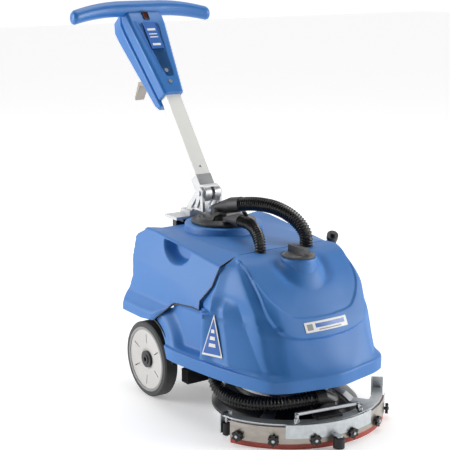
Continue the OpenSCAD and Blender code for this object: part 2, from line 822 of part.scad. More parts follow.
module end_roller(side) {
    at_squeegee() rotate([0, 0, side * (squeegee_half_angle + 2)])
        translate([end_roller_r, side * 12, 12]) difference() {
            cylinder(r = 9, h = 30);
            translate([0, 0, -1]) cylinder(r = 3 + run_fit, h = 40);
        }
}
module end_roller_right() { color("black") end_roller(-1); }
module end_roller_left() { color("black") end_roller(1); }

module guard_roller() {
    color("black") at_squeegee() translate([roller_c, 0, 4]) difference() {
        cylinder(r = roller_r, h = 24);
        translate([0, 0, -1]) cylinder(r = 3 + run_fit, h = 40);
    }
}

module squeegee_bail() {
    post_z = squeegee_top_z + plate_t;
    foot_x = bail_r * cos(bail_half);
    foot_y = bail_r * sin(bail_half);
    color("silver") at_squeegee() difference() {
        union() {
            for (side = [-1, 1]) translate([foot_x, side * foot_y, post_z + 5]) {
                rotate([90, 0, 0]) cylinder(r = 5, h = 5, center = true);
                translate([-12, -2.5, -1]) cube([12, 5, 16]);
            }
            translate([foot_x - 12, -foot_y - 2.5, post_z + 14]) cube([6, 2 * foot_y + 5, 8]);
        }
        translate([foot_x, 0, post_z + 5]) rotate([90, 0, 0])
            cylinder(r = 2.5 + run_fit, h = 300, center = true);
    }
}

// ---- mast and handle ----

module pivot_bracket() {
    cheek_y = cheek_gap + cheek_t / 2;
    back = -rear_reach - post_t - 2;
    foot_z = bracket_z + 22;
    color("silver") in_frame() difference() {
        union() {
            translate([back, -80, bracket_z]) cube([bracket_front - back, 160, 8]);
            translate([back + 12, -cheek_gap - cheek_t - 6, bracket_z])
                cube([bracket_front - back - 12, 2 * (cheek_gap + cheek_t) + 12, foot_z - bracket_z]);
            for (side = [-1, 1]) translate([0, side * cheek_y, 0])
                side_extrude(cheek_t) difference() {
                    polygon([[bracket_front - 34, foot_z - 2], [bracket_front, foot_z - 2],
                        [bracket_front + 4, foot_z + 6], [pivot_x + 18, foot_z + 6],
                        [pivot_x + 15, pivot_z + 8], [pivot_x, pivot_z + 17],
                        [pivot_x - 15, pivot_z + 8]]);
                    polygon([[pivot_x - 40, foot_z + 8], [pivot_x - 22, foot_z + 8],
                        [pivot_x - 14, pivot_z - 14]]);
                    polygon([[pivot_x - 12, foot_z + 12], [pivot_x + 8, foot_z + 12],
                        [pivot_x + 4, pivot_z - 14]]);
                }
        }
        translate([pivot_x, 0, pivot_z]) rotate([90, 0, 0])
            cylinder(d = pivot_pin_d + 2 * run_fit, h = 100, center = true);
    }
}

module pivot_pin() {
    color("silver") in_frame() translate([pivot_x, 0, pivot_z]) rotate([90, 0, 0]) {
        cylinder(d = pivot_pin_d, h = 2 * (cheek_gap + cheek_t) + 6, center = true);
        cylinder(r = drum_r, h = drum_t, center = true);
    }
}

module mast_knuckle() {
    color("silver") on_mast() difference() {
        union() {
            rotate([90, 0, 0]) cylinder(r = knuckle_r, h = 2 * (cheek_gap - move_gap), center = true);
            translate([-26, -cheek_gap + move_gap, 0])
                cube([32, 2 * (cheek_gap - move_gap), mast_z0 + 10]);
        }
        rotate([90, 0, 0]) cylinder(d = pivot_pin_d + 2 * run_fit, h = 100, center = true);
        rotate([90, 0, 0]) cylinder(r = drum_r + move_gap, h = drum_t + 2 * move_gap, center = true);
        translate([0, -drum_t / 2 - move_gap, -40]) cube([60, drum_t + 2 * move_gap, 46]);
        translate([mast_u, 0, 8]) cylinder(r = 4 + move_gap, h = 100);
    }
}

module mast() {
    color("gainsboro") on_mast() translate([mast_u, 0, mast_z0 + 10]) difference() {
        translate([-mast_t / 2, -mast_w / 2, 0]) cube([mast_t, mast_w, mast_z1 - mast_z0 - 10]);
        translate([-mast_t / 2 + mast_wall, -mast_w / 2 + mast_wall, -1])
            cube([mast_t - 2 * mast_wall, mast_w - 2 * mast_wall, mast_z1]);
        translate([0, 0, 24]) rotate([0, 90, 0]) cylinder(r = 3, h = 40);
        // slot for the peg that the release lever lifts
        translate([-30, -4, lever_w - mast_z0 - 16]) cube([25, 8, 26]);
    }
}

// Brake rod inside the mast, with the peg at its top that the release lever lifts.
module lock_rod() {
    color("silver") on_mast() translate([mast_u, 0, 0]) difference() {
        union() {
            translate([0, 0, 22]) cylinder(r = 4, h = lever_w - 22 + 8);
            translate([0, 0, lever_w + 2.6]) rotate([0, -90, 0]) cylinder(r = 2.4, h = 20);
        }
        rotate([90, 0, 0]) cylinder(r = drum_r + move_gap, h = 40, center = true);
    }
}

function console_profile(inset) = [[console_front - inset, console_z0 - inset],
    [console_front - inset, console_z1 - 34], [console_front - 20 - inset, console_z1 - inset],
    [console_back_top + inset, console_z1 - inset], [console_back_low + inset, console_z0 - inset]];

module console_shape(inset) {
    intersection() {
        side_extrude(200) polygon(console_profile(inset));
        front_extrude(-200, 100) polygon([[-32 + inset, console_z0 - 10],
            [-58 + inset, console_z1 - 62], [-44 + inset, console_z1 - inset],
            [44 - inset, console_z1 - inset], [58 - inset, console_z1 - 62],
            [32 - inset, console_z0 - 10]]);
    }
}

module console_front() {
    color("royalblue") on_mast() difference() {
        console_shape(0);
        console_shape(3);
        translate([-200, -100, 0]) cube([200 + console_split, 200, 900]);
        translate([console_front - 20, -switch_w / 2, switch_z]) cube([40, switch_w, 24]);
        grip_bores();
    }
}

module console_back() {
    color("royalblue") on_mast() difference() {
        union() {
            difference() {
                console_shape(0);
                console_shape(3);
            }
            // ears that hold the release lever's pin, which is moulded with them
            for (side = [-1, 1]) translate([-52, side * 20 - 2, lever_w - 10]) cube([24, 4, 20]);
            translate([lever_u, 0, lever_w]) rotate([90, 0, 0])
                cylinder(d = 5, h = 40, center = true);
        }
        translate([console_split, -100, 0]) cube([170, 200, 900]);
        // slot for the release lever
        translate([-100, -17, lever_w - 34]) cube([50, 34, 84]);
        grip_bores();
        translate([console_back_top + 2, 0, mast_reach - 90]) rotate([0, 90, 0])
            cylinder(d = gland_d, h = 60, center = true);
    }
}

// Where the two grips pass through the console's shells.
module grip_bores() {
    translate([0, 0, mast_reach + grip_arch]) rotate([90, 0, 0])
        cylinder(d = grip_d + tiny, h = 200, center = true);
}

// One moulded bar through the console's head, drooping towards both tips.
module handlebar() {
    tip = handle_w / 2 - 2;
    droop = function (y) let (t = max(abs(y) - grip_flat, 0) / (tip - grip_flat))
        grip_arch * (1 - t * t);
    color("royalblue") on_mast()
        hose([for (i = [-8 : 8]) let (y = tip * i / 8) [0, y, mast_reach + droop(y)]],
            grip_d, [1, 0, 0], 24);
}

module control_label() {
    color("navy") on_mast() translate([console_front, -20, mast_reach - 108])
        cube([1, 40, 76]);
}

module switch_frame() {
    color("black") on_mast() translate([console_front - 12, -switch_w / 2, switch_z])
        difference() {
            cube([15, switch_w, 24]);
            translate([2, 2, 2]) cube([20, switch_w - 4, 20]);
            translate([9, 1, 12]) rotate([-90, 0, 0])
                cylinder(d = rocker_pin_d + 2 * run_fit, h = switch_w - 2);
        }
}

// Rocker of the main switch, pressed in at its upper half.
module power_switch() {
    color("darkred") on_mast() translate([console_front - 3, 0, switch_z + 12]) {
        rotate([0, 8, 0]) translate([-1, -switch_w / 2 + 3, -8]) cube([5, switch_w - 6, 16]);
        rotate([90, 0, 0]) cylinder(d = rocker_pin_d, h = switch_w - 3, center = true);
    }
}

module release_lever() {
    color("gray") on_mast() difference() {
        side_extrude(30)
            polygon([[lever_u + 5, lever_w - 6], [lever_u + 5, lever_w + 6], [-60, lever_w + 8],
                [-112, lever_w + 42], [-158, lever_w + 18], [-162, lever_w + 11],
                [-112, lever_w + 30], [-62, lever_w - 5]]);
        // fork under the peg
        translate([lever_u + 2, -2.8, lever_w - 10]) cube([10, 5.6, 20]);
        translate([lever_u, 0, lever_w]) rotate([90, 0, 0])
            cylinder(d = 5 + 2 * run_fit, h = 60, center = true);
    }
}

module console_screws() {
    color("silver") on_mast() for (z = [mast_reach - 191, mast_reach - 226])
        translate([console_front, 0, z]) rotate([0, 90, 0]) cylinder(r = 6, h = 2);
}

// Moulded gland where the supply cable enters the console.
module cable_gland() {
    color("black") on_mast() translate([console_back_top + 14, 0, mast_reach - 90])
        rotate([0, -90, 0]) {
            cylinder(d = gland_d, h = 22);
            translate([0, 0, 8]) cylinder(d = gland_d + 6, h = 5);
        }
}

chassis();
axle();
solution_tank();
recovery_tank();
lid_seal();
recovery_lid();
lid_handle();
big_elbow();
small_elbow();
big_hose();
small_hose();
float_cage();
float_ball();
filler_cap();
filler_filter();
drain_hose();
drain_plug();
suction_motor();
suction_fan();
brush_motor();
motor_rotor();
water_pump();
rear_tray();
brush_deck();
brush_block();
bristles();
tyre_right();
rim_right();
hub_cap_right();
tyre_left();
rim_left();
hub_cap_left();
swivel_ring();
squeegee_frame();
squeegee_band();
squeegee_strip();
front_blade();
rear_blade();
squeegee_knobs();
suction_nozzle();
squeegee_hose();
end_brackets();
end_roller_right();
end_roller_left();
guard_roller();
squeegee_bail();
pivot_bracket();
pivot_pin();
mast_knuckle();
mast();
lock_rod();
console_front();
console_back();
handlebar();
control_label();
switch_frame();
power_switch();
release_lever();
console_screws();
cable_gland();
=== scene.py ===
# %% [markdown]
# # A walk-behind floor scrubber
# The machine is a small scrubber-dryer: two blue moulded tanks on a steel chassis, a disc brush
# and a curved squeegee underneath, and a console on a leaning mast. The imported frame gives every
# part its place and its joints. This file gives them their looks, and rebuilds in finer detail
# the parts that show most: the tanks, hoses, wheels, console and squeegee.

import json
import math

import bmesh
import bpy
import numpy as np
from mathutils import Euler, Matrix, Vector

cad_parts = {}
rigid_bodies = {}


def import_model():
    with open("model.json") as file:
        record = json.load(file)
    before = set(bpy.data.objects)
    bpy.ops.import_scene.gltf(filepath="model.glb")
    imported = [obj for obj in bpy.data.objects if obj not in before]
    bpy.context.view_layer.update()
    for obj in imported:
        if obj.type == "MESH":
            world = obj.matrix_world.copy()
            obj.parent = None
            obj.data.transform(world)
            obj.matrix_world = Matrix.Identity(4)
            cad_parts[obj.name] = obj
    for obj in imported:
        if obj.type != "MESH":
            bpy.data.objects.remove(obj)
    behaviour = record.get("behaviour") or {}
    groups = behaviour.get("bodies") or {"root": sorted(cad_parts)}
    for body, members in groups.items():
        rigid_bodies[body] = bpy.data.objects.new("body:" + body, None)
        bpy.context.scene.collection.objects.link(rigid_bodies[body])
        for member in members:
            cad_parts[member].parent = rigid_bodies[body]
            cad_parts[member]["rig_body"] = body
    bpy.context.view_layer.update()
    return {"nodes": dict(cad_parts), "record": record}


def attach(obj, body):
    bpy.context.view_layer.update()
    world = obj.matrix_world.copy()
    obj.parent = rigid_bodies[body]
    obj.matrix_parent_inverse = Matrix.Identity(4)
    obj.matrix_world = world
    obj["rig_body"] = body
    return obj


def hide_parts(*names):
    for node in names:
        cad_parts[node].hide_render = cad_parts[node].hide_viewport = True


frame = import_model()
nodes = frame["nodes"]
scene = bpy.context.scene
scene.view_settings.view_transform = "Standard"
print("frame loaded:", len(nodes), "nodes")

# %% [markdown]
# ## Camera
# The machine is seen from its front right, from a little above its handle, with a long lens, so
# that its sides stay nearly parallel.

# %% Camera
camera_data = bpy.data.cameras.new("camera")
camera_data.lens = 96.8
camera_data.sensor_width = 36.0
camera = bpy.data.objects.new("camera", camera_data)
camera.location = (2.561, -1.761, 1.1535)
LOOK_DOWN = 12.97       # degrees below the horizon
HEADING = 55.73         # degrees round the machine
camera.rotation_euler = Euler((math.radians(90 - LOOK_DOWN), 0, math.radians(HEADING)))
scene.collection.objects.link(camera)
scene.camera = camera
print("camera at", tuple(camera.location))

# %% [markdown]
# ## Floor and light
# A seamless white floor carries the machine. It also glows, weakly near the machine and more
# strongly further out: painted light that keeps the floor white and lifts the shade from below.
# Two tall soft boxes stand to the left and the right, so faces that look sideways are bright and
# the corners that look at the camera are darker, which is what draws the creases of the tanks.

# %% Floor and light
def srgb(code):
    """A hex colour as Blender's linear red, green, blue and alpha."""
    parts = [int(code[i:i + 2], 16) / 255 for i in (1, 3, 5)]
    return [p / 12.92 if p <= 0.04045 else ((p + 0.055) / 1.055) ** 2.4 for p in parts] + [1.0]


def soft_box(name, place, aim, size, power):
    """A rectangular area light that faces a point."""
    data = bpy.data.lights.new(name, "AREA")
    data.shape = "RECTANGLE"
    data.size, data.size_y = size
    data.energy = power
    lamp = bpy.data.objects.new(name, data)
    lamp.location = place
    direction = Vector(aim) - Vector(place)
    lamp.rotation_euler = direction.to_track_quat("-Z", "Y").to_euler()
    scene.collection.objects.link(lamp)
    return lamp


world = bpy.data.worlds.new("studio")
scene.world = world
world.use_nodes = True
sky = world.node_tree
toward = sky.nodes.new("ShaderNodeVectorMath")
toward.operation = "DOT_PRODUCT"
toward.inputs[1].default_value = (-0.80, 0.55, -0.22)
fade = sky.nodes.new("ShaderNodeMapRange")
fade.inputs["From Min"].default_value = -0.1
fade.inputs["From Max"].default_value = 0.55
fade.inputs["To Min"].default_value = 0.03
fade.inputs["To Max"].default_value = 1.05
sky.links.new(sky.nodes.new("ShaderNodeTexCoord").outputs["Generated"], toward.inputs[0])
sky.links.new(toward.outputs["Value"], fade.inputs["Value"])
sky.links.new(fade.outputs["Result"], sky.nodes["Background"].inputs["Strength"])
sky.nodes["Background"].inputs["Color"].default_value = (1.0, 1.0, 1.0, 1.0)
soft_box("front_box", (2.3, 2.8, 1.3), (0.2, 0, 0.35), (1.6, 2.2), 108)
soft_box("side_box", (-1.7, -2.8, 1.3), (0.0, 0, 0.35), (1.8, 2.2), 98)
soft_box("top_box", (-0.4, 0.4, 3.0), (0.0, 0, 0.4), (2.0, 2.0), 34)

floor_bm = bmesh.new()
bmesh.ops.create_grid(floor_bm, x_segments=1, y_segments=1, size=14.0)
floor_mesh = bpy.data.meshes.new("floor")
floor_bm.to_mesh(floor_mesh)
floor_bm.free()
floor = bpy.data.objects.new("floor", floor_mesh)
scene.collection.objects.link(floor)
print("studio ready")

# %% [markdown]
# ## How a material is made
# Each finish is one Principled shader. A helper adds a node with its settings and its links, so
# a finish reads as a short list: a fine noise that lifts the surface, a slower one that shifts
# the colour, and the plain numbers set on the shader itself.

# %% Material helpers
GRAIN_DEPTH = 0.0002    # metres that the finest grain stands proud


def add(tree, kind, links=(), **settings):
    """Adds one node, sets its properties or inputs by name, and links its inputs."""
    node = tree.nodes.new(kind)
    for key, value in settings.items():
        if hasattr(node, key):
            setattr(node, key, value)
        else:
            node.inputs[key.replace("_", " ")].default_value = value
    for socket, source in links:
        tree.links.new(source, node.inputs[socket])
    return node


def finish(name, colour, roughness, metallic=0.0, mottle=0.0, mottle_size=0.06, dark=None,
           grain=0.0, grain_size=0.0006, stretch=None):
    """A surface with a slow drift of colour and a fine grain, placed by object coordinates."""
    material = bpy.data.materials.new(name)
    material.use_nodes = True
    tree = material.node_tree
    shader = tree.nodes["Principled BSDF"]
    shader.inputs["Base Color"].default_value = srgb(colour)
    shader.inputs["Roughness"].default_value = roughness
    shader.inputs["Metallic"].default_value = metallic
    where = add(tree, "ShaderNodeTexCoord").outputs["Object"]
    if stretch:
        where = add(tree, "ShaderNodeMapping", [("Vector", where)], Scale=stretch).outputs[0]
    if mottle:
        noise = add(tree, "ShaderNodeTexNoise", [("Vector", where)], Scale=1 / mottle_size,
                    Detail=4.0, Roughness=0.6)
        mix = add(tree, "ShaderNodeMix", [("Factor", noise.outputs["Fac"])], data_type="RGBA")
        mix.inputs[6].default_value = srgb(dark or colour)
        mix.inputs[7].default_value = srgb(colour)
        tree.links.new(mix.outputs[2], shader.inputs["Base Color"])
        rough = add(tree, "ShaderNodeMapRange", [("Value", noise.outputs["Fac"])])
        rough.inputs["To Min"].default_value = roughness + mottle
        rough.inputs["To Max"].default_value = roughness - mottle
        tree.links.new(rough.outputs[0], shader.inputs["Roughness"])
    if grain:
        fine = add(tree, "ShaderNodeTexNoise", [("Vector", where)], Scale=1 / grain_size,
                   Detail=2.0)
        bump = add(tree, "ShaderNodeBump", [("Height", fine.outputs["Fac"])], Strength=grain,
                   Distance=GRAIN_DEPTH)
        tree.links.new(bump.outputs[0], shader.inputs["Normal"])
    return material


floor_paint = finish("pale_studio_floor", "#F4F4F4", 0.8, mottle=0.02, mottle_size=0.5,
                     dark="#F0F0F0")
floor_shader = floor_paint.node_tree.nodes["Principled BSDF"]
# Painted light: the floor glows at 0.3 near the machine, rising to 0.64 three metres out. This
# keeps it white and fills the machine's shade from below.
floor_shader.inputs["Emission Color"].default_value = (1.0, 1.0, 1.0, 1.0)
far = add(floor_paint.node_tree, "ShaderNodeVectorMath", operation="LENGTH",
          links=[(0, add(floor_paint.node_tree, "ShaderNodeTexCoord").outputs["Object"])])
painted_floor_glow = add(floor_paint.node_tree, "ShaderNodeMapRange", [("Value", far.outputs["Value"])],
           From_Min=0.9, From_Max=3.0, To_Min=0.3, To_Max=0.64)
floor_paint.node_tree.links.new(painted_floor_glow.outputs[0], floor_shader.inputs["Emission Strength"])
floor_mesh.materials.append(floor_paint)

# %% [markdown]
# ## The finishes
# The tanks are rotomoulded polyethylene: the powder melts against a blasted mould, so the blue
# has a faint orange-peel and a slight bloom. The console is injection moulded, smoother and
# brighter. The squeegee is galvanised steel with a soft spangle, and its blades are red
# polyurethane. Everything black is rubber or plastic of slightly different gloss.

# %% Finishes
M = {
    "painted_frame": finish("black_powder_coat", "#1E1F21", 0.45, mottle=0.05, dark="#17181A",
                            grain=0.3, grain_size=0.0012),
    "bright_steel": finish("zinc_plated_steel", "#C9CCCF", 0.32, 1.0, mottle=0.06,
                           mottle_size=0.02, dark="#AEB2B6"),
    "blue_tank": finish("rotomoulded_polyethylene", "#3573B8", 0.5, mottle=0.03,
                        mottle_size=0.09, dark="#326FB1", grain=0.35, grain_size=0.0016),
    "blue_console": finish("moulded_abs", "#316FB4", 0.33, mottle=0.03, mottle_size=0.05,
                           dark="#2E6BAD", grain=0.15, grain_size=0.0011),
    "black_rubber": finish("moulded_rubber", "#1C1C1D", 0.62, mottle=0.05, dark="#232324",
                           grain=0.4, grain_size=0.0015),
    "grey_rubber": finish("soft_cuff_rubber", "#29292B", 0.5, mottle=0.05, dark="#202022",
                          grain=0.3, grain_size=0.0014),
    "red_rubber": finish("red_polyurethane", "#B0483A", 0.42, mottle=0.05, mottle_size=0.03,
                         dark="#9C3D31", grain=0.2, grain_size=0.002),
    "black_plastic": finish("black_moulded_plastic", "#202022", 0.38, mottle=0.05,
                            dark="#19191B", grain=0.2, grain_size=0.001),
    "dark_grey_plastic": finish("dark_grey_plastic", "#454547", 0.4, mottle=0.05,
                                dark="#3B3B3D", grain=0.2, grain_size=0.001),
    "grey_plastic": finish("grey_plastic", "#8E8E8E", 0.45, mottle=0.05, dark="#858585"),
    "white_plastic": finish("white_plastic", "#E6E6E2", 0.4, mottle=0.04, dark="#DDDDD8"),
    "hose_black": finish("hose_plastic", "#141415", 0.28, mottle=0.05, mottle_size=0.02,
                         dark="#1C1C1E"),
    "motor_metal": finish("painted_motor", "#55585B", 0.4, mottle=0.05, dark="#4A4D50"),
    "aluminium": finish("cast_aluminium", "#C4C6C8", 0.38, 1.0, mottle=0.08, dark="#A9ABAE"),
    "cast_deck": finish("cast_deck_black", "#2A2B2D", 0.36, 0.2, mottle=0.1, mottle_size=0.03,
                        dark="#1D1E20", grain=0.4, grain_size=0.002),
    "bristle": finish("nylon_bristle", "#C9CCD0", 0.55, mottle=0.05, mottle_size=0.004,
                      dark="#8F949A", stretch=(1, 1, 0.06)),
    "tyre": finish("grey_tyre_rubber", "#3A3A3B", 0.6, mottle=0.05, dark="#323233", grain=0.3,
                   grain_size=0.0015),
    "hub_plastic": finish("off_white_wheel_plastic", "#BCBAB8", 0.42, mottle=0.04,
                          mottle_size=0.05, dark="#C4C2BF", grain=0.15, grain_size=0.0012),
    "galvanised": finish("galvanised_steel", "#D6DADC", 0.36, 0.85, mottle=0.12,
                         mottle_size=0.012, dark="#B2B8BC", grain=0.2, grain_size=0.003),
    "steel_band": finish("stainless_band", "#BDB6AC", 0.34, 0.8, mottle=0.1,
                         mottle_size=0.03, dark="#97918A", stretch=(1, 1, 3)),
    "silver_paint": finish("silver_paint", "#C9CACB", 0.33, 0.6, mottle=0.05, dark="#B7B9BB",
                           grain=0.2, grain_size=0.001),
    "white_paint": finish("off_white_powder_coat", "#E2E2DE", 0.4, mottle=0.03,
                          dark="#DADAD6", grain=0.2, grain_size=0.0012),
    "label": finish("printed_film", "#2F66B4", 0.25, mottle=0.03, dark="#2A5DA8"),
    "switch_red": finish("rocker_red", "#5A2420", 0.22, mottle=0.03, dark="#451A17"),
    "lever_plastic": finish("grey_brown_lever", "#A49C92", 0.38, mottle=0.05, dark="#8E867D"),
}
slot_of = {s["node"]: s["material_slot"] for s in frame["record"]["subparts"]}
for node_name, node in nodes.items():
    node.data.materials.clear()
    node.data.materials.append(M[slot_of[node_name]])
print("finishes:", len(M))

# %% [markdown]
# ## Softened copies of plain CAD parts
# A machined or folded part keeps its CAD shape, but no real edge is razor sharp. A copy of the
# part gets its loose triangles merged, flat faces joined and a small bevel on the sharp edges,
# which catches a line of light.

# %% Piece helpers
SHIFT = -0.04284        # the wheel axle lies this far behind the middle of the machine
PIVOT = Vector((-0.057 + SHIFT, 0, 0.509))
LEAN = math.radians(37)
BRUSH_X = 0.289 + SHIFT
PARK = math.radians(-9)
WHEEL_R = 0.1
SIDES = ((-1, "right"), (1, "left"))
mast_space = Matrix.Translation(PIVOT) @ Matrix.Rotation(-LEAN, 4, "Y")
axle_space = Matrix.Translation((SHIFT, 0, 0))
brush_space = Matrix.Translation((BRUSH_X, 0, 0)) @ Matrix.Rotation(PARK, 4, "Z")


def piece(name, bm, body, slot_name, stands_for=(), space=None, smooth=True, sharp=35):
    """Turns a bmesh into a finished object that rides on a body."""
    if space is not None:
        bmesh.ops.transform(bm, matrix=space, verts=bm.verts)
    mesh = bpy.data.meshes.new(name)
    bm.to_mesh(mesh)
    bm.free()
    if smooth:
        mesh.shade_smooth()
        mesh.set_sharp_from_angle(angle=math.radians(sharp))
    mesh.materials.append(M[slot_name])
    thing = bpy.data.objects.new(name, mesh)
    scene.collection.objects.link(thing)
    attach(thing, body)
    if stands_for:
        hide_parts(*stands_for)
    return thing


def bevelled(thing, width, segments=3, angle=25):
    """Adds a bevel to every edge sharper than the angle."""
    bevel = thing.modifiers.new("bevel", "BEVEL")
    bevel.width = width
    bevel.segments = segments
    bevel.limit_method = "ANGLE"
    bevel.angle_limit = math.radians(angle)
    bevel.harden_normals = True
    return thing


def soften(node_name, width):
    """A copy of a CAD part with small bevels on its sharp edges."""
    source = nodes[node_name]
    bm = bmesh.new()
    bm.from_mesh(source.data)
    bmesh.ops.remove_doubles(bm, verts=bm.verts, dist=1e-5)
    bmesh.ops.dissolve_limit(bm, angle_limit=math.radians(1), verts=bm.verts, edges=bm.edges)
    thing = piece(node_name + "_soft", bm, source["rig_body"], slot_of[node_name], (node_name,))
    return bevelled(thing, width, 2, 32)


def turned(profile, steps):
    """A skin of revolution about Z, from radii and heights in metres."""
    bm = bmesh.new()
    ring = [bm.verts.new((r, 0, z)) for r, z in profile]
    edges = [bm.edges.new(pair) for pair in zip(ring, ring[1:])]
    bmesh.ops.spin(bm, geom=ring + edges, cent=(0, 0, 0), axis=(0, 0, 1), angle=math.tau,
                   steps=steps, use_merge=True)
    bmesh.ops.recalc_face_normals(bm, faces=bm.faces)
    return bm


def thickened(bm, faces, shift):
    """Extrudes the faces by a shift, which closes the skin."""
    made = bmesh.ops.extrude_face_region(bm, geom=faces)["geom"]
    bmesh.ops.translate(bm, vec=shift,
                        verts=[g for g in made if isinstance(g, bmesh.types.BMVert)])
    bmesh.ops.recalc_face_normals(bm, faces=bm.faces)


def mapped(columns, rows, points, wrap=False):
    """A grid whose vertex in column i and row j is moved to points[j][i]."""
    bm = bmesh.new()
    bmesh.ops.create_grid(bm, x_segments=columns, y_segments=rows, size=1.0)
    for v in bm.verts:
        i = round((v.co.x + 1) / 2 * columns)
        j = round((v.co.y + 1) / 2 * rows)
        v.co = points[j][i]
    if wrap:
        bmesh.ops.remove_doubles(bm, verts=bm.verts, dist=1e-6)
    bmesh.ops.recalc_face_normals(bm, faces=bm.faces)
    return bm


def through(knots, steps):
    """Points on one smooth curve through the knots, steps of them between each pair."""
    k = [np.array(p, float) for p in knots]
    k = [2 * k[0] - k[1]] + k + [2 * k[-1] - k[-2]]
    out = []
    for a, b, c, d in zip(k, k[1:], k[2:], k[3:]):
        for t in np.arange(steps) / steps:
            out.append(0.5 * (2 * b + (c - a) * t + (2 * a - 5 * b + 4 * c - d) * t * t
                              + (3 * b - a - 3 * c + d) * t ** 3))
    return np.array(out + [k[-2]])


def creased(knots, radius, steps=6):
    """A polyline whose corners are rounded by short arcs, so that its creases stay crisp."""
    k = [np.array(p, float) for p in knots]
    out = [k[0]]
    for a, b, c in zip(k, k[1:], k[2:]):
        reach = min(radius, 0.45 * np.linalg.norm(b - a), 0.45 * np.linalg.norm(c - b))
        start = b + (a - b) / max(np.linalg.norm(a - b), 1e-9) * reach
        stop = b + (c - b) / max(np.linalg.norm(c - b), 1e-9) * reach
        for t in np.linspace(0, 1, steps):
            out.append((1 - t) ** 2 * start + 2 * t * (1 - t) * b + t * t * stop)
    return np.array(out + [k[-1]])


def spaced(points, count):
    """The same curve, resampled at even distances."""
    length = np.r_[0, np.cumsum(np.linalg.norm(np.diff(points, axis=0), axis=1))]
    want = np.linspace(0, length[-1], count)
    return np.stack([np.interp(want, length, points[:, i]) for i in range(points.shape[1])], 1)


def ramp(x, low, high):
    """0 below low, 1 above high and a smooth rise between."""
    t = np.clip((x - low) / (high - low), 0, 1)
    return t * t * (3 - 2 * t)


print("helpers ready")

# %% [markdown]
# ## The front tank
# The moulding is a stack of half outlines, from the skirt up to the flat top. Each outline runs
# from the middle of the nose round the corner to the joint with the rear tank, and smooth curves
# tie one height to the next. The same tables as in the CAD part set its overall form. What the
# moulding has on top of that is a small push in or out along the surface, each a formula: a step
# under the visor's edge, a groove inside it, the bulge that carries the triangle and the hollow
# behind it.

# %% The front tank's form
# Heights in millimetres, then how far the nose reaches, how wide its flat front is, and how wide
# the body is at each of them.
HEIGHT = [133, 160, 164, 167, 181, 213, 263, 301, 337, 364, 382, 409, 420, 424]
FRONT = [510, 510, 509, 504, 492, 475, 460, 438, 412, 388, 368, 332, 302, 272]
NOSE = [60, 60, 60, 64, 84, 108, 124, 134, 140, 142, 143, 145, 146, 146]
SIDE = [240, 240, 239.5, 233, 229, 225, 222, 216, 208, 201, 195, 178, 156, 148]
# The joint with the rear tank: height and distance ahead of the axle.
JOINT = [(133, 109), (165, 94), (200, 55), (212, 32), (219, 38), (273, 100), (286, 222),
         (300, 212), (349, 242), (399, 262), (418, 272), (424, 273)]
# The visor's edge and the groove inside it: ahead, out to the side, up.
VISOR = [(280, 153, 424), (321, 150, 412), (353, 150, 390), (383, 150, 360), (412, 149, 323),
         (430, 142, 297), (447, 126, 271), (457, 96, 257), (462, 58, 250), (465, 0, 247)]
GROOVE = [(322, 153, 406), (352, 149, 387), (381, 143, 364), (399, 135, 346), (414, 121, 328),
          (427, 103, 311), (437, 80, 298), (442, 25, 292), (442, 0, 292)]
CAP = (338, 416)        # the filler cap's middle: ahead and up
BOSS = 45               # radius of the boss under it


def monotone(table, z):
    """Heights to values by a smooth curve that never overshoots its points."""
    xs, ys = np.array(HEIGHT, float), np.array(table, float)
    d = np.diff(ys) / np.diff(xs)
    m = np.r_[d[0], [0 if a * b <= 0 else 2 * a * b / (a + b) for a, b in zip(d, d[1:])], d[-1]]
    i = np.clip(np.searchsorted(xs, z) - 1, 0, len(xs) - 2)
    h = xs[i + 1] - xs[i]
    t = (z - xs[i]) / h
    return ((2 * t ** 3 - 3 * t ** 2 + 1) * ys[i] + (t ** 3 - 2 * t ** 2 + t) * h * m[i]
            + (3 * t ** 2 - 2 * t ** 3) * ys[i + 1] + (t ** 3 - t ** 2) * h * m[i + 1])


def half_outline(z, count):
    """One height's outline in millimetres, from the middle of the nose to the joint."""
    f, c, w = (float(monotone(t, z)) for t in (FRONT, NOSE, SIDE))
    run = f - 164
    line = through([(f - run * 0.01, -c / 2), (f, 0), (f - run * 0.01, c / 2), (f - run * 0.03, c),
                    (f - run * 0.09, c + (w - c) * 0.45), (f - run * 0.2, c + (w - c) * 0.68),
                    (f - run * 0.54, c + (w - c) * 0.87), (164, w), (90, w), (20, w - 1)], 24)
    line = line[24:]
    back = np.interp(z, [p[0] for p in JOINT], [p[1] for p in JOINT])
    keep = line[:, 0] > back
    last = int(np.argmin(keep))
    a, b = line[last - 1], line[last]
    end = a + (b - a) * (back - a[0]) / (b[0] - a[0])
    return spaced(np.vstack([line[:last], end]), count)


def distance_to(points, polyline):
    """For each point, the distance to a polyline and how far below it the point lies."""
    best = np.full(points.shape[:-1], 1e9)
    drop = np.zeros_like(best)
    for a, b in zip(polyline, polyline[1:]):
        a, b = np.array(a, float), np.array(b, float)
        t = np.clip(((points - a) @ (b - a)) / ((b - a) @ (b - a)), 0, 1)
        near = a + t[..., None] * (b - a)
        away = np.linalg.norm(points - near, axis=-1)
        closer = away < best
        best = np.where(closer, away, best)
        out = points - near
        drop = np.where(closer, out[..., 0] * 0.5 - out[..., 2] + out[..., 1] * 0.8, drop)
    return best, drop


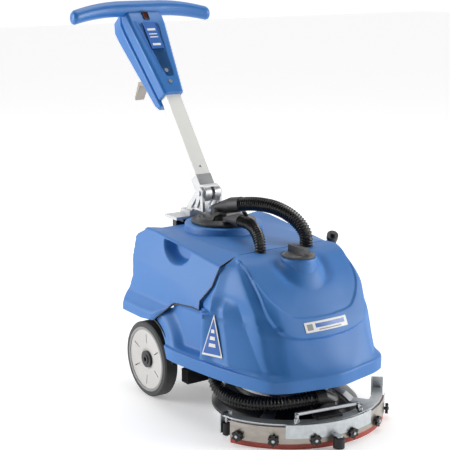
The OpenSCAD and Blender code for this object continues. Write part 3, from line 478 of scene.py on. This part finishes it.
def front_push(p):
    """How far each point of the half surface moves outwards, in millimetres."""
    x, y, z = p[..., 0], p[..., 1], p[..., 2]
    near, drop = distance_to(p, through(VISOR, 6))
    below = np.where(drop > 0, near, -near)
    step = -9.0 * ramp(below, 0, 4.5) * np.clip((z - 170) / 85, 0, 1)
    step = step * ramp(x, 250, 300)
    line, side_of = distance_to(p, through(GROOVE, 6))
    inside = np.where(side_of < 0, line, -line)
    groove = -2.4 * ramp(inside, -1.8, 1.8) * (1 - ramp(inside, 20, 80)) * ramp(x, 318, 350)
    edge_a = 342 - (z - 188) * 0.286
    edge_b = 402 - (z - 224) * 0.62
    across = np.clip((x - edge_a) / np.maximum(edge_b - edge_a, 12), 0, 1)
    bulge = (20 * ramp(x, 236, 260) * (1 - across) * ramp(z, 167, 176)
             * (1 - ramp(z, 300 + (x - 300) * 0.25, 336)))
    reach = np.hypot(x, z - 100)
    inset = -9 * ramp(x, 262, 300) * ramp(z, 166, 180) * (1 - ramp(z, 300, 350))
    hollow = inset + (-20 * ramp(reach, 139, 172) * (1 - ramp(x, 222, 258)) * ramp(z, 167, 180)
              * (1 - ramp(z, 268, 300)))
    return step + groove + (bulge + hollow) * ramp(y, 120, 170)


def with_cap_boss(p):
    """The surface sinks under the filler cap's boss and rises to it with a fillet."""
    rho = np.hypot(p[..., 0] - CAP[0], p[..., 1])
    out = p.copy()
    high = CAP[1] - 3
    out[..., 2] = np.where(rho < BOSS - 2, np.minimum(p[..., 2], high), p[..., 2])
    lift = 15 * (1 - ramp(rho, BOSS - 4, BOSS + 24)) * ramp(p[..., 0], 330, 372)
    out[..., 2] += np.where(rho < BOSS - 2, 0, lift)
    scoop = 7 * np.exp(-((rho - 66) / 14) ** 2) * ramp(np.abs(p[..., 1]), 16, 50)
    out[..., 2] -= scoop * ramp(p[..., 0], 318, 345) * (1 - ramp(p[..., 0], 372, 400))
    return out


def shell(half):
    """Mirrors a half surface to a whole one; half is rows of points from the middle outwards."""
    other = half[:, :0:-1] * [1, -1, 1]
    return np.concatenate([other, half], axis=1)


def pushed(half, push):
    """Moves each point of a half surface along its own normal."""
    du = np.gradient(half, axis=1)
    dv = np.gradient(half, axis=0)
    normal = np.cross(du, dv)
    normal /= np.maximum(np.linalg.norm(normal, axis=-1, keepdims=True), 1e-9)
    if np.mean(normal[..., 1]) < 0:
        normal = -normal
    out = half + normal * push[..., None]
    out[:, 0, 1] = 0
    return out


COLUMNS = 190
levels = np.r_[np.linspace(133, 159, 7), np.linspace(160, 168, 7), np.linspace(170, 418, 128),
               np.linspace(419.5, 424, 12)]
front_half = np.array([np.c_[half_outline(z, COLUMNS + 1), np.full(COLUMNS + 1, z)]
                       for z in levels])
front_half = with_cap_boss(pushed(front_half, front_push(front_half)))
joint_y = np.interp(front_half[..., 2], [300, 349, 400, 411, 424], [203, 190, 178, 156, 140])
joint_x = np.interp(front_half[..., 2], [p[0] for p in JOINT], [p[1] for p in JOINT])
roomy = joint_y + np.maximum(front_half[..., 0] - joint_x - 6, 0) * 0.3
front_half[..., 1] = np.where(front_half[..., 2] > 292,
                              np.minimum(front_half[..., 1], roomy), front_half[..., 1])
front_points = shell(front_half) / 1000
print("front tank:", front_points.shape)


def rim(bm, depth, centre, deep_from=9.0):
    """Folds the open edges of a shell inwards; past deep_from they fold well inside."""
    edges = [e for e in bm.edges if e.is_boundary]
    made = bmesh.ops.extrude_edge_only(bm, edges=edges)["geom"]
    for v in (g for g in made if isinstance(g, bmesh.types.BMVert)):
        if v.co.x > deep_from:
            v.co.y *= 0.78
            v.co.z -= 0.03 * (v.co.z > 0.38)
        else:
            v.co += (centre - v.co).normalized() * depth
    bmesh.ops.recalc_face_normals(bm, faces=bm.faces)


front_bm = mapped(2 * COLUMNS, len(levels) - 1, front_points)
rim(front_bm, 0.006, Vector((0.25, 0, 0.25)))
piece("front_tank_moulding", front_bm, "machine", "blue_tank", ("solution_tank",), axle_space,
      sharp=50)

boss_profile = [(0.0, 0.412), (0.0375, 0.412), (0.0385, 0.4145), (0.040, 0.416), (0.0435, 0.416),
                (0.045, 0.4145), (0.0455, 0.41), (0.0462, 0.36), (0.047, 0.335)]
piece("filler_boss", turned(boss_profile, 72), "machine", "blue_tank", (),
      Matrix.Translation((CAP[0] / 1000 + SHIFT, 0, 0)), sharp=40)
print("front tank done")

# %% [markdown]
# ## The rear tank
# The recovery tank is drawn as cross sections along its length. Its top edge falls towards the
# front, two long creases run down each side, and a bowl-shaped hand recess is sunk into the
# upper face. At the wheels the wall flares out into a mudguard.

# %% The rear tank's form
# The rear tank's lower edge as distance ahead and height, and its front edge as height and
# distance ahead.
SEAM_LOW = [(-102, 208), (-22, 208), (36, 216), (98, 273), (220, 284)]
SEAM_FRONT = [(284, 220), (307, 217), (349, 252), (399, 267), (433, 271)]


def tank_section(x, count):
    """One cross section in millimetres, from the middle of the top to the lower edge."""
    fall = max(x + 30, 0) / 296
    low = float(np.interp(x, [p[0] for p in SEAM_LOW], [p[1] for p in SEAM_LOW]))
    flare = float(ramp(np.array(float(x)), 98, 20))
    top = 424
    knots = [(0, top), (130, top), (184, top + 9 - 33 * fall), (197, top - 42 - 33 * fall),
             (209, top - 77 - 39 * fall), (212, min(300, top - 92 - 39 * fall)), (214, 262)]
    if low > 262:
        knots = [k for k in knots if k[1] > low + 6] + [(213, low)]
    else:
        drop = 262 - low
        knots += [(214 + 16 * flare, low + drop * 0.6), (214 + 24.5 * flare, low + drop * 0.42),
                  (214 + 25 * flare, low + drop * 0.06), (213 + 25 * flare, low)]
    return spaced(creased(knots, 7), count)


def plan_limit(x, z):
    """Half width that the rounded rear corners allow, wider low down where they flare."""
    high = np.interp(x, [-135, -134, -129, -113, -85, -50], [140, 150, 176, 206, 226, 260])
    low = np.interp(x, [-135, -131, -118, -104], [205, 222, 234, 260])
    return high + (low - high) * ramp(z, 305, 232)


def rear_height(x):
    """Highest point that the rounded rear edge allows."""
    return float(np.interp(x, [-135, -129, -113, -85, -45], [368, 390, 410, 424, 500]))


def rear_half_surface(stations, count):
    """Half of the rear tank as rows of points, one row for each cross section."""
    rows = []
    for x in stations:
        line = tank_section(x, count)
        line[:, 0] = np.minimum(line[:, 0], plan_limit(x, line[:, 1]))
        line[:, 1] = np.minimum(line[:, 1], rear_height(x))
        rows.append(np.c_[np.full(count, x), line])
    return np.array(rows)


def front_edge(z):
    """The joint's x at a height on the upper front edge."""
    return float(np.interp(z, [p[0] for p in SEAM_FRONT], [p[1] for p in SEAM_FRONT]))


def rear_push(p):
    """The hand recess: a bowl cut by the upper face."""
    x, y, z = p[..., 0], p[..., 1], p[..., 2]
    top_edge = 422 - (x - 13) * 0.085
    under = ramp(top_edge - z, 0, 3)
    bowl = 1 - ramp(np.hypot((x - 78) / 66, (top_edge - z) / 50), 0.72, 1.0)
    return -32 * under * bowl * ramp(y, 150, 180)


def to_joint(half):
    """Stretches each line of constant height forwards, so that it ends on the joint."""
    out = half.copy()
    x, z = half[..., 0], half[..., 2]
    end = np.vectorize(front_edge)(z)
    out[..., 0] = np.where(x > 100, 100 + (x - 100) * (end - 100) / 170, x)
    return out


stations = np.r_[-135, -134.6, -133.6, -132, np.linspace(-129, -86, 16), np.linspace(-82, 98, 84),
                 np.linspace(101, 270, 72)]
rear_half = rear_half_surface(stations, 221)
rear_half = to_joint(rear_half)
rear_half[..., 1] += rear_push(rear_half)
rear_points = shell(rear_half) / 1000
rear_bm = mapped(rear_points.shape[1] - 1, rear_points.shape[0] - 1, rear_points)
rim(rear_bm, 0.02, Vector((0.05, 0, 0.3)), 0.205)
piece("rear_tank_moulding", rear_bm, "machine", "blue_tank", ("recovery_tank",), axle_space,
      sharp=48)

wall_bm = bmesh.new()
back = [(y, z) for x, y, z in rear_half[0]]
loop = [wall_bm.verts.new((-0.1348, s * y / 1000, z / 1000))
        for s, side in ((1, back), (-1, back[::-1])) for y, z in side]
wall_bm.faces.new(loop)
bmesh.ops.remove_doubles(wall_bm, verts=wall_bm.verts, dist=1e-5)
piece("rear_tank_wall", wall_bm, "machine", "blue_tank", (), axle_space, smooth=False)

collar_profile = [(0.075, 0.40), (0.075, 0.4395), (0.0765, 0.442), (0.099, 0.442),
                  (0.1016, 0.4412), (0.103, 0.4385), (0.1032, 0.430), (0.1045, 0.4255),
                  (0.108, 0.4236), (0.112, 0.4225)]
piece("tank_collar", turned(collar_profile, 96), "machine", "blue_tank", (),
      Matrix.Translation((0.012 + SHIFT, 0, 0)), sharp=40)
print("rear tank done")

# %% [markdown]
# ## Hoses
# Each hose is a corrugated tube: its radius goes up and down once for every rib, along the same
# line that the CAD tube follows.

# %% Hoses
def corrugated(name, route, radius, pitch, depth, body, stands_for):
    """A ribbed tube along a route given in millimetres from the axle."""
    line = through([(x / 1000, y / 1000, z / 1000) for x, y, z in route], 12)
    total = np.linalg.norm(np.diff(line, axis=0), axis=1).sum()
    ribs = int(round(total / pitch))
    steps = ribs * 6
    line = spaced(line, steps + 1)
    tangent = np.gradient(line, axis=0)
    tangent /= np.linalg.norm(tangent, axis=1, keepdims=True)
    side = np.cross(tangent, [0.13, 0.9, 0.2])
    side /= np.linalg.norm(side, axis=1, keepdims=True)
    other = np.cross(tangent, side)
    phase = np.arange(steps + 1) * math.tau / 6
    size = radius - depth * (0.5 - 0.5 * np.cos(phase)) ** 0.7
    turn = np.arange(29) * math.tau / 28
    round_it = (np.cos(turn)[None, :, None] * side[:, None]
                + np.sin(turn)[None, :, None] * other[:, None])
    points = line[:, None] + size[:, None, None] * round_it
    bm = mapped(28, steps, points, wrap=True)
    return piece(name, bm, body, "hose_black", stands_for, axle_space, sharp=80)


corrugated("suction_hose", [[84, 8, 500], [105, 14, 504], [130, 22, 507], [158, 30, 508],
                            [186, 39, 506], [214, 48, 499], [240, 56, 488], [260, 62, 474],
                            [274, 66, 458], [280, 68, 442], [281, 68, 424], [281, 68, 404]],
           0.0185, 0.0068, 0.0030, "machine", ("big_hose",))
corrugated("air_hose", [[152, -38, 473], [176, -44, 475], [200, -49, 476], [224, -55, 473],
                        [244, -60, 466], [260, -64, 454], [270, -67, 440], [274, -68, 424],
                        [275, -68, 404]],
           0.0152, 0.0058, 0.0026, "machine", ("small_hose",))
corrugated("squeegee_suction_hose", [[258, -190, 150], [258, -192, 128], [263, -194, 106],
                                     [282, -192, 91], [312, -188, 84], [346, -179, 82],
                                     [378, -165, 83], [406, -146, 86], [430, -122, 90],
                                     [448, -95, 95], [458, -65, 97], [462, -42, 97]],
           0.0178, 0.0080, 0.0032, "squeegee", ("squeegee_hose",))
corrugated("drain_tube", [[-60, 196, 320], [-60, 214, 320], [-54, 223, 321], [-38, 226, 323],
                          [-14, 226, 325], [20, 226, 327], [60, 226, 330], [96, 226, 334],
                          [128, 225, 341], [154, 223, 351], [176, 220, 364], [193, 216, 379],
                          [206, 211, 394], [215, 206, 408]],
           0.013, 0.0055, 0.0018, "machine", ("drain_hose",))
print("hoses done")

# %% [markdown]
# ## The joint between the tanks
# A thin black strip of painted shade runs down each side between the two mouldings and back to
# the wheel. It stands for the shadow in the gap between the tanks.

# %% Painted joint shadow
lip = [p for p in rear_half[-1] if p[2] < 421] + [p for p in rear_half[::-1, -1] if p[0] > 40]
for side, word in SIDES:
    route = [[x + 0.6, side * (y + 0.2), z] for x, y, z in lip[::4]]
    # Painted shade: a thin black tube laid along the joint stands for the shadow in the gap.
    corrugated("painted_joint_shadow_" + word, route, 0.0019, 0.008, 0.0, "machine", ())
print("painted joint shadow:", len(lip), "points")

# %% [markdown]
# ## Plates, liners and the filler cap
# The badge, the triangle and the console label are blank: a pale plate with a few plain bars.
# A black liner closes each wheel arch, so the joint between the tanks doesn't show daylight.

# %% Plates and liners
def plate(name, corners, thickness, slot_name, body="machine", space=axle_space, bevel=0.0006):
    """A thin plate with these corners in metres, in order, thickened along its normal."""
    bm = bmesh.new()
    face = bm.faces.new([bm.verts.new(c) for c in corners])
    bm.normal_update()
    thickened(bm, [face], face.normal * thickness)
    if bevel:
        bmesh.ops.bevel(bm, geom=bm.edges[:], offset=bevel, offset_type="OFFSET", segments=2,
                        profile=0.5, affect="EDGES", material=-1)
    return piece(name, bm, body, slot_name, (), space, smooth=False)


def surface_at(x, z, side=-1, out=0.6):
    """The point of the front tank's side at a distance from the axle and a height."""
    row = int(np.argmin(abs(levels - z)))
    y = float(np.interp(x, front_half[row, ::-1, 0], front_half[row, ::-1, 1])) + out
    return Vector((x / 1000, side * y / 1000, z / 1000))


def nose_at(y, z, out=0.6):
    """The point of the front tank's nose at a side distance and a height."""
    row = int(np.clip(np.searchsorted(levels, z), 1, len(levels) - 1))
    share = (z - levels[row - 1]) / (levels[row] - levels[row - 1])
    below, above = (float(np.interp(abs(y), front_half[r, :90, 1], front_half[r, :90, 0]))
                    for r in (row - 1, row))
    return Vector(((below + (above - below) * share + out) / 1000, y / 1000, z / 1000))


def nose_sheet(name, y0, y1, z0, z1, out, thickness, slot_name):
    """A thin plate that follows the nose between two side distances and two heights."""
    bm = bmesh.new()
    rows = [[bm.verts.new(nose_at(y, z, out)) for y in np.linspace(y0, y1, 25)]
            for z in np.linspace(z0, z1, 5)]
    for low, high in zip(rows, rows[1:]):
        for k in range(24):
            bm.faces.new((low[k], low[k + 1], high[k + 1], high[k]))
    thickened(bm, bm.faces[:], (thickness, 0, 0))
    return piece(name, bm, "machine", slot_name, (), axle_space, sharp=40)


LINER_R = 0.1165
for side, word in SIDES:
    apex, low_a, low_b = (surface_at(x, z, side, 1.2) for x, z in ((288, 292), (268, 190),
                                                                     (328, 192)))
    order = (apex, low_a, low_b) if side < 0 else (apex, low_b, low_a)
    plate("triangle_plate_" + word, order, 0.0012, "white_plastic")
    mid = sum(order, Vector()) / 3
    inner = [mid + (p - mid) * 0.84 + Vector((0, side * 0.0012, 0)) for p in order]
    plate("triangle_field_" + word, inner, 0.0006, "label", bevel=0)
    for k in range(3):
        t0, t1 = 0.30 + 0.2 * k, 0.40 + 0.2 * k
        left = [inner[0].lerp(inner[1], t) for t in (t0, t1)]
        right = [inner[0].lerp(inner[2], t) for t in (t0, t1)]
        bar = [left[0].lerp(right[0], 0.25), left[1].lerp(right[1], 0.25),
               left[1].lerp(right[1], 0.75), left[0].lerp(right[0], 0.75)]
        plate("triangle_bar_" + word + str(k),
              [p + Vector((0, side * 0.0006, 0)) for p in bar], 0.0004, "white_plastic", bevel=0)

    bm = bmesh.new()
    arc = [bm.verts.new((LINER_R * math.cos(a), side * 0.125, WHEEL_R + LINER_R * math.sin(a)))
           for a in np.radians(np.linspace(8, 118, 30))]
    edges = [bm.edges.new(pair) for pair in zip(arc, arc[1:])]
    made = bmesh.ops.extrude_edge_only(bm, edges=edges)["geom"]
    bmesh.ops.translate(bm, vec=(0, side * 0.104, 0),
                        verts=[g for g in made if isinstance(g, bmesh.types.BMVert)])
    bmesh.ops.solidify(bm, geom=bm.faces[:], thickness=0.003)
    bmesh.ops.recalc_face_normals(bm, faces=bm.faces)
    piece("arch_liner_" + word, bm, "machine", "black_plastic", (), axle_space)

nose_sheet("badge_plate", -66, 60, 262, 284, -0.5, 0.002, "white_plastic")
for k, (y0, y1, z0, z1, slot_name) in enumerate(((-36, 52, 271, 280, "label"),
                                                 (-28, 40, 265, 267.5, "grey_plastic"),
                                                 (-60, -44, 267, 280, "grey_plastic"))):
    nose_sheet("badge_bar" + str(k), y0, y1, z0, z1, 0, 0.0018, slot_name)

# %% [markdown]
# ## The console and the handlebar
# The console is one tapered body in the mast's own frame, wide at the head and narrow at the
# foot. A raised panel carries the label, with a narrow slot beside it. The grips are a thick
# moulded bar that droops a little towards its tips.

# %% Console and handlebar
def loft(sections):
    """Closed skin through sections with the same number of points each."""
    bm = bmesh.new()
    rings = [[bm.verts.new(p) for p in ring] for ring in sections]
    count = len(rings[0])
    for low, high in zip(rings, rings[1:]):
        for k in range(count):
            n = (k + 1) % count
            bm.faces.new((low[k], low[n], high[n], high[k]))
    bm.faces.new(rings[0][::-1])
    bm.faces.new(rings[-1])
    bmesh.ops.recalc_face_normals(bm, faces=bm.faces)
    return bm


def console_ring(w, half, front, back, chamfer):
    """One section across the console, in metres in the mast's frame."""
    pts = [(front, half - chamfer), (front - chamfer * 0.8, half), (back + chamfer, half),
           (back, half - chamfer), (back, chamfer - half), (back + chamfer, -half),
           (front - chamfer * 0.8, -half), (front, chamfer - half)]
    return [(u / 1000, y / 1000, w / 1000) for u, y in pts]


FRONT_RINGS = ((304, 31), (309, 33), (531, 58), (560, 58))
BACK_RINGS = ((290, 27, -56), (304, 30.5, -62), (531, 57.5, -80), (560, 57.5, -84), (596, 46, -87))
shell_front = loft([console_ring(w, h, 16, -28, 7) for w, h in FRONT_RINGS]
                   + [console_ring(580, 54, 8, -28, 9), console_ring(600, 46, -4, -28, 9)])
bevelled(piece("console_front_shell", shell_front, "handle", "blue_console", ("console_front",),
               mast_space), 0.003)
shell_back = loft([console_ring(w, h, -28.4, b, 8) for w, h, b in BACK_RINGS])
bevelled(piece("console_back_shell", shell_back, "handle", "blue_console", ("console_back",),
               mast_space), 0.003)


def front_plate(name, corners, front, thickness, slot_name, bevel=0.001):
    """A plate on the console's face, from its corners as side distance and height."""
    pts = [Vector((front / 1000, y / 1000, w / 1000)) for y, w in corners]
    return plate(name, pts, thickness / 1000, slot_name, "handle", mast_space, bevel)


front_plate("console_slot", [(-47, 540), (-38, 540), (-11, 372), (-14, 372)], 16.05, 0.5,
            "label", 0)
front_plate("console_panel", [(-34, 532), (30, 532), (34, 524), (25, 420), (21, 356), (-4, 356),
                              (-12, 384)], 16, 2.4, "blue_console")
front_plate("label_film", [(-20, 446), (20, 446), (20, 524), (-20, 524)], 18.3, 0.6, "label", 0)
for k, (y0, y1, w0, w1) in enumerate(((-13, 13, 505, 512), (-13, 13, 492, 495),
                                      (-13, 13, 482, 485), (-13, 13, 456, 463))):
    front_plate("label_bar" + str(k), [(y0, w0), (y1, w0), (y1, w1), (y0, w1)], 18.9, 0.3,
                "white_plastic", 0)

bar_sections = []
for y in np.r_[-223, -222, -219, np.linspace(-214, 214, 61), 219, 222, 223]:
    t = max(abs(y) - 60, 0) / 163
    w = 566 + 26 * (1 - t * t)
    tip = max(abs(y) - 214, 0) / 9
    closing = math.sqrt(max(1 - (tip * 0.9) ** 2, 0.05))
    r_u = (20 + 1.5 * (1 - t)) * closing
    r_w = (19.5 + 3 * (1 - t)) * closing
    bar_sections.append([(r_u * math.cos(a) / 1000, y / 1000, (w + r_w * math.sin(a)) / 1000)
                         for a in np.arange(28) * math.tau / 28])
bar = loft(bar_sections)
piece("moulded_handlebar", bar, "handle", "blue_console", ("handlebar",), mast_space, sharp=50)
top_panel = loft([[(u / 1000, y / 1000, w / 1000) for u, y in
                   ((2, 40), (-60, 44), (-60, -44), (2, -40))] for w in (600, 611)])
bevelled(piece("console_top_cover", top_panel, "handle", "white_plastic", (), mast_space), 0.004)
print("console done")

# %% [markdown]
# ## Softened metal parts
# Folded and machined parts keep their CAD shape, with a fine bevel to catch the light.

# %% Softened parts
for name, width in (("mast", 0.0018), ("mast_knuckle", 0.0018), ("pivot_bracket", 0.0012),
                    ("squeegee_frame", 0.0006), ("squeegee_strip", 0.0006),
                    ("end_brackets", 0.0006), ("squeegee_bail", 0.0012), ("lid_handle", 0.0015),
                    ("filler_cap", 0.0015), ("release_lever", 0.0015), ("recovery_lid", 0.0012),
                    ("squeegee_knobs", 0.0008)):
    soften(name, width)
print("softened parts done")

# %% [markdown]
# ## Squeegee details
# Folded plates close the two ends of the squeegee, and silver screws sit in the middle of the
# star knobs. Each wheel gets its axle bolt and a grey ring round its hub.

# %% Squeegee details
def box(name, low, high, body, slot_name, space):
    """A box between two corners, bevelled."""
    bm = bmesh.new()
    bmesh.ops.create_cube(bm, size=1.0)
    for v in bm.verts:
        v.co = [a + (b - a) * (c + 0.5) for a, b, c in zip(low, high, v.co)]
    return bevelled(piece(name, bm, body, slot_name, (), space), 0.0008, 2)


def disc(name, radius, height, body, slot_name, space):
    """A short cylinder along Z that stands on the origin of its space."""
    bm = bmesh.new()
    bmesh.ops.create_cone(bm, cap_ends=True, segments=24, radius1=radius,
                          radius2=radius * 0.86, depth=height)
    bmesh.ops.translate(bm, vec=(0, 0, height / 2), verts=bm.verts)
    return piece(name, bm, body, slot_name, (), space, sharp=40)


for (side, word), top in zip(SIDES, (0.066, 0.088)):
    turn = brush_space @ Matrix.Rotation(side * math.radians(61), 4, "Z")
    outer = sorted((side * 0.0205, side * 0.0235))
    box("end_plate_" + word, (0.221, outer[0], 0.016), (0.249, outer[1], top), "squeegee",
        "galvanised", turn)
    flange = sorted((side * 0.006, side * 0.0235))
    box("end_flange_" + word, (0.219, flange[0], 0.040), (0.2215, flange[1], top), "squeegee",
        "galvanised", turn)
for k, angle in enumerate((-53.8, -33.9, -11.4, 11.4, 33.9, 53.8)):
    centre = (brush_space @ Matrix.Rotation(math.radians(angle), 4, "Z")
              @ Matrix.Translation((0.2622, 0, 0.024)) @ Matrix.Rotation(math.pi / 2, 4, "Y"))
    disc("knob_screw" + str(k), 0.0042, 0.0022, "squeegee", "bright_steel", centre)
for side, word in SIDES:
    hub = (axle_space @ Matrix.Translation((0, side * 0.2355, WHEEL_R))
           @ Matrix.Rotation(-side * math.pi / 2, 4, "X"))
    disc("axle_bolt_" + word, 0.007, 0.0045, "wheel_" + word, "bright_steel", hub)
    ring_bm = turned([(0.0785, 0), (0.0795, 0.0016), (0.0855, 0.0016), (0.0862, 0)], 96)
    face = (axle_space @ Matrix.Translation((0, side * 0.2372, WHEEL_R))
            @ Matrix.Rotation(-side * math.pi / 2, 4, "X"))
    piece("rim_ring_" + word, ring_bm, "wheel_" + word, "grey_plastic", (), face)
print("squeegee and wheel details done")
